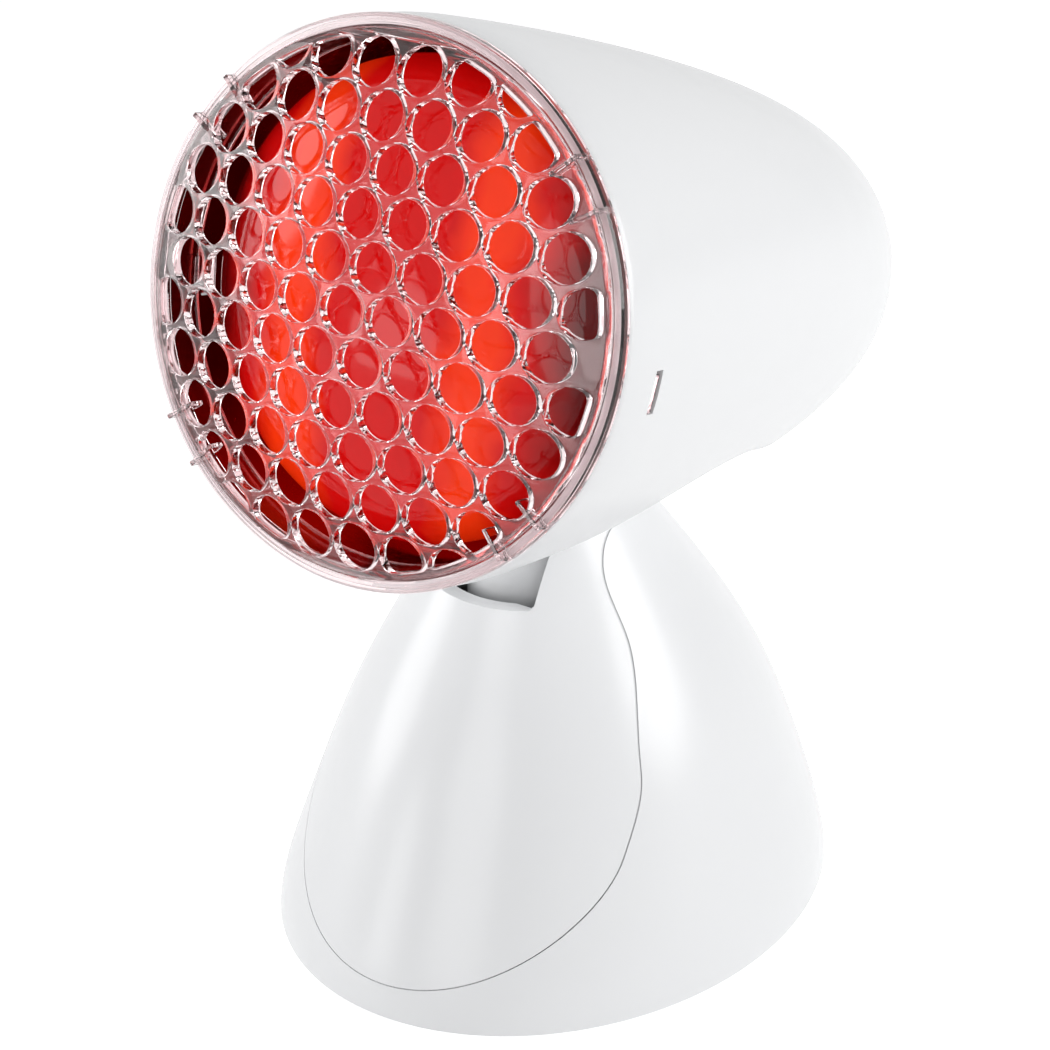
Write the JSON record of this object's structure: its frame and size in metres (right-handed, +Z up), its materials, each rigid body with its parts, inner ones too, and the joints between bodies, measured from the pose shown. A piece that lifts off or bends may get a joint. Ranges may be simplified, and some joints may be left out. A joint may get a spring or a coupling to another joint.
{
  "type": "infrared heat therapy lamp",
  "caption": "Table infrared heat lamp: egg-shaped head with a clear domed honeycomb grille and a red reflector bulb, tilting on an arm in a tapered oval stand.",
  "frame": {"origin": "middle of the stand's underside, on the surface that it stands on", "axes": "+Z up, the lamp faces -Y, +X to the right of someone who looks along +Y"},
  "size_m": [0.115, 0.1864, 0.2113],
  "materials": {
    "acetal": "natural",
    "black_glass": "vitrite",
    "brass": "plain",
    "ceramic": "glazed ceramic",
    "clear_glass": "clear",
    "clear_plastic": "clear polished plastic",
    "grey_plastic": "moulded, matt",
    "nickelled_brass": "nickelled, pressed",
    "red_glass": "ruby glass, mirrored inside behind the face",
    "rubber": "matt",
    "spring_steel": "hardened strip",
    "tungsten": "drawn wire",
    "white_plastic": "satin moulded white",
    "zinc_steel": "zinc plated"
  },
  "bodies": {
    "stand": {"base_shell": "white_plastic", "front_panel": "white_plastic", "bottom_plate": "grey_plastic", "rubber_feet": "rubber", "bottom_screws": "zinc_steel", "column_screws": "zinc_steel", "support_column": "grey_plastic", "tilt_pin": "zinc_steel", "pin_clips": "spring_steel", "detent_spring": "spring_steel", "spring_screw": "zinc_steel", "cable_gland": "rubber", "gland_nut": "grey_plastic", "cord_clamp": "grey_plastic", "clamp_screws": "zinc_steel", "terminal_block": "acetal", "terminal_screws": "zinc_steel"},
    "head": {"head_housing": "white_plastic", "protective_grille": "clear_plastic", "bulb_glass": "red_glass", "bulb_cap": "nickelled_brass", "cap_insulator": "black_glass", "cap_contact": "brass", "filament_stem": "clear_glass", "filament": "tungsten", "lamp_holder": "ceramic", "holder_contact": "brass", "holder_plate": "zinc_steel", "holder_screws": "zinc_steel", "plate_screws": "zinc_steel", "tilt_arm": "white_plastic", "arm_screws": "zinc_steel", "detent_sector": "zinc_steel", "pin_bushes": "acetal"}
  },
  "joints": [
    {"name": "head_tilt", "type": "hinge", "parent": "stand", "child": "head", "pos_m": [0, -0.006, 0.07], "axis": [1, 0, 0], "range_deg": [-10, 10]}
  ]
}
